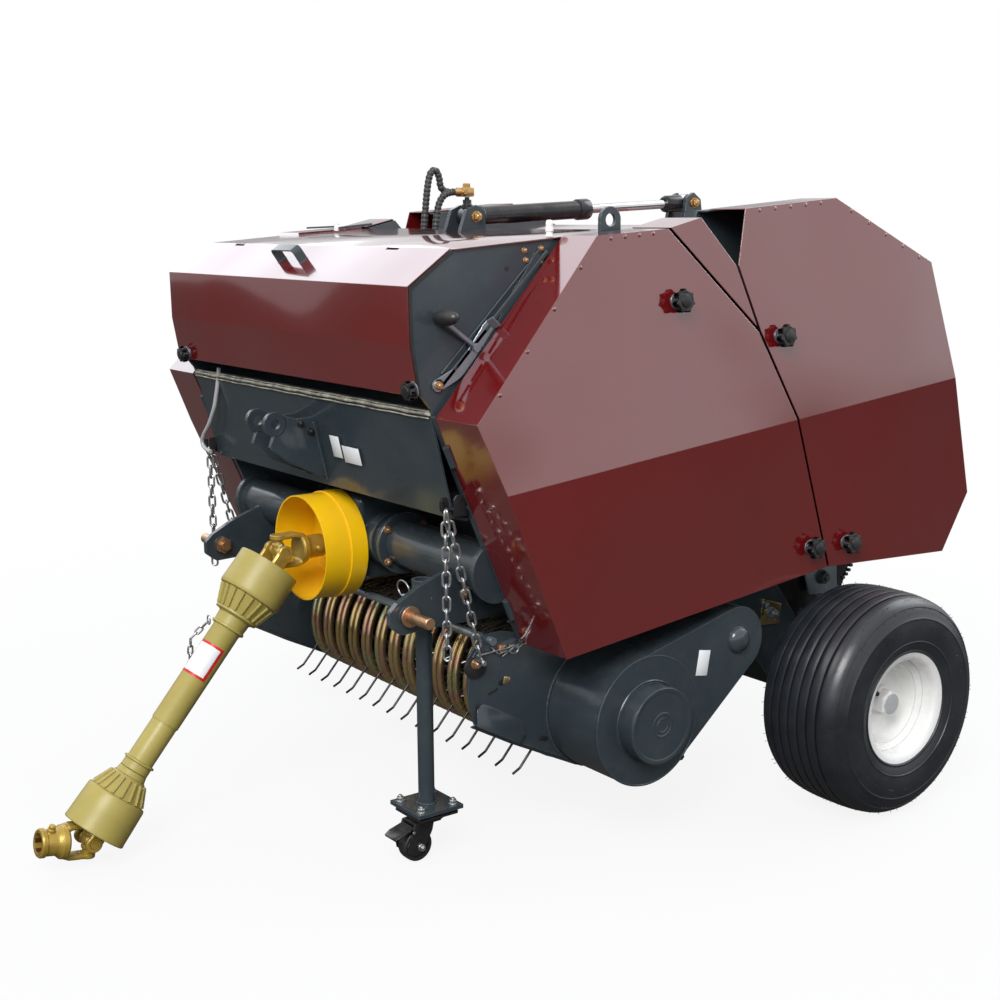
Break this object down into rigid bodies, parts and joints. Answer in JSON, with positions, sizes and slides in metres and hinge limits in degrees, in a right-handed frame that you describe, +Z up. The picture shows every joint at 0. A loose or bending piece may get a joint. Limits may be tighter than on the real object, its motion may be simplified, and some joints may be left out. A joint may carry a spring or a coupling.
{
  "type": "round baler",
  "caption": "Compact three-point-hitched round baler with twin wheels, parking stand, hanging PTO shaft, pickup reel and ram-lifted tailgate.",
  "frame": {"origin": "middle of the footprint at ground level", "axes": "+Z up, -Y toward the tractor (hitch side), +X to the drive case side"},
  "size_m": [1.571, 1.8806, 1.2965],
  "materials": {
    "maroon_paint": "gloss",
    "slate_paint": "gloss",
    "yellow_plastic": "satin",
    "mustard_plastic": "satin",
    "ochre_paint": "satin",
    "gold_zinc": "satin",
    "zinc": "satin",
    "tyre": "matte",
    "white_paint": "gloss",
    "black_paint": "gloss",
    "chrome": "polished",
    "black_rubber": "matte"
  },
  "bodies": {
    "frame": {"axle": "slate_paint", "cover_wedges": "maroon_paint", "crop_bar": "slate_paint", "cylinder_mount": "slate_paint", "drive_case": "slate_paint", "drive_tubes": "slate_paint", "front_plate": "slate_paint", "front_rollers": "slate_paint", "gearbox": "slate_paint", "hitch_chains": "zinc", "hitch_frame": "slate_paint", "hoses": "black_rubber", "lifting_eye": "zinc", "link_pins": "gold_zinc", "pickup_bands": "gold_zinc", "pickup_sides": "slate_paint", "pto_cup": "yellow_plastic", "pto_yoke_near": "ochre_paint", "roof": "maroon_paint", "side_frame_left": "slate_paint", "side_frame_right": "slate_paint", "top_link_ears": "slate_paint", "twine_arm": "zinc", "twine_box": "slate_paint", "twine_tube": "zinc"},
    "wheel_left": {"tyre_left": "tyre", "rim_left": "white_paint", "hub_left": "slate_paint"},
    "wheel_right": {"tyre_right": "tyre", "rim_right": "white_paint", "hub_right": "slate_paint"},
    "stand": {"stand_leg": "slate_paint"},
    "caster": {"caster_fork": "black_paint"},
    "caster_roll": {"caster_wheel": "black_paint"},
    "pto_cross": {"pto_cross_near": "ochre_paint"},
    "pto_outer_half": {"pto_tube_outer": "ochre_paint", "pto_guard_outer": "mustard_plastic"},
    "pto_inner_half": {"pto_tube_inner": "ochre_paint", "pto_guard_inner": "mustard_plastic"},
    "pto_end": {"pto_cross_far": "ochre_paint", "pto_yoke_far": "ochre_paint"},
    "hood": {"hood": "maroon_paint"},
    "front_cover_left": {"front_cover_left": "maroon_paint"},
    "front_cover_right": {"front_cover_right": "maroon_paint"},
    "gate_cover_left": {"gate_cover_left": "maroon_paint"},
    "gate_cover_right": {"gate_cover_right": "maroon_paint"},
    "tailgate": {"gate_sides": "slate_paint", "gate_shell": "maroon_paint", "gate_rollers": "slate_paint", "gate_lug": "slate_paint"},
    "ram_barrel": {"cylinder_barrel": "black_paint"},
    "ram_rod": {"cylinder_rod": "chrome"},
    "reel": {"pickup_reel": "black_paint"}
  },
  "joints": [
    {"name": "wheel_left_spin", "type": "hinge", "parent": "frame", "child": "wheel_left", "pos_m": [-0.681, 0.55927, 0.2285], "axis": [1, 0, 0], "continuous": true},
    {"name": "wheel_right_spin", "type": "hinge", "parent": "frame", "child": "wheel_right", "pos_m": [0.681, 0.55927, 0.2285], "axis": [1, 0, 0], "continuous": true},
    {"name": "stand_height", "type": "slide", "parent": "frame", "child": "stand", "axis": [0, 0, 1], "range_m": [0, 0.12]},
    {"name": "caster_swivel", "type": "hinge", "parent": "stand", "child": "caster", "pos_m": [0.352, -0.30973, 0.09], "axis": [0, 0, 1], "continuous": true},
    {"name": "caster_spin", "type": "hinge", "parent": "caster", "child": "caster_roll", "pos_m": [0.352, -0.33773, 0.031], "axis": [1, 0, 0], "continuous": true},
    {"name": "pto_swing", "type": "hinge", "parent": "frame", "child": "pto_cross", "pos_m": [0, -0.42073, 0.549], "axis": [0, 0, 1], "range_deg": [-20, 20]},
    {"name": "pto_tilt", "type": "hinge", "parent": "pto_cross", "child": "pto_outer_half", "pos_m": [0, -0.42073, 0.549], "axis": [-1, 0, 0], "range_deg": [0, 50]},
    {"name": "pto_slide", "type": "slide", "parent": "pto_outer_half", "child": "pto_inner_half", "axis": [0, 0.6455, 0.7638], "range_m": [0, 0.06]},
    {"name": "pto_end_tilt", "type": "hinge", "parent": "pto_inner_half", "child": "pto_end", "pos_m": [0, -0.84157, 0.05101], "axis": [1, 0, 0], "range_deg": [0, 40]},
    {"name": "hood_hinge", "type": "hinge", "parent": "frame", "child": "hood", "pos_m": [0, -0.32373, 1.1455], "axis": [-1, 0, 0], "range_deg": [0, 75]},
    {"name": "front_cover_right_hinge", "type": "hinge", "parent": "frame", "child": "front_cover_right", "pos_m": [0.484, -0.36473, 0.86], "axis": [0, 0.3937, -0.9193], "range_deg": [0, 78]},
    {"name": "front_cover_left_hinge", "type": "hinge", "parent": "frame", "child": "front_cover_left", "pos_m": [-0.484, -0.36473, 0.86], "axis": [0, -0.3937, 0.9193], "range_deg": [0, 78]},
    {"name": "gate_cover_right_hinge", "type": "hinge", "parent": "tailgate", "child": "gate_cover_right", "pos_m": [0.484, 0.94027, 0.6025], "axis": [0, -0.2632, 0.9647], "range_deg": [0, 78]},
    {"name": "gate_cover_left_hinge", "type": "hinge", "parent": "tailgate", "child": "gate_cover_left", "pos_m": [-0.484, 0.94027, 0.6025], "axis": [0, 0.2632, -0.9647], "range_deg": [0, 78]},
    {"name": "tailgate_hinge", "type": "hinge", "parent": "frame", "child": "tailgate", "pos_m": [0, 0.24327, 1.106], "axis": [1, 0, 0], "range_deg": [0, 50]},
    {"name": "ram_base", "type": "hinge", "parent": "frame", "child": "ram_barrel", "pos_m": [0, 0.04527, 1.198], "axis": [1, 0, 0], "range_deg": [0, 37.57]},
    {"name": "ram_stroke", "type": "slide", "parent": "ram_barrel", "child": "ram_rod", "axis": [0, 0.9989, 0.0471], "range_m": [-0.1375, 0]},
    {"name": "reel_spin", "type": "hinge", "parent": "frame", "child": "reel", "pos_m": [0, 0.02927, 0.266], "axis": [1, 0, 0], "continuous": true}
  ],
  "couplings": [
    {"joint": "ram_base", "follows": "tailgate_hinge", "ratio": 0.73133},
    {"joint": "ram_stroke", "follows": "tailgate_hinge", "m_per_rad": -0.15292}
  ]
}
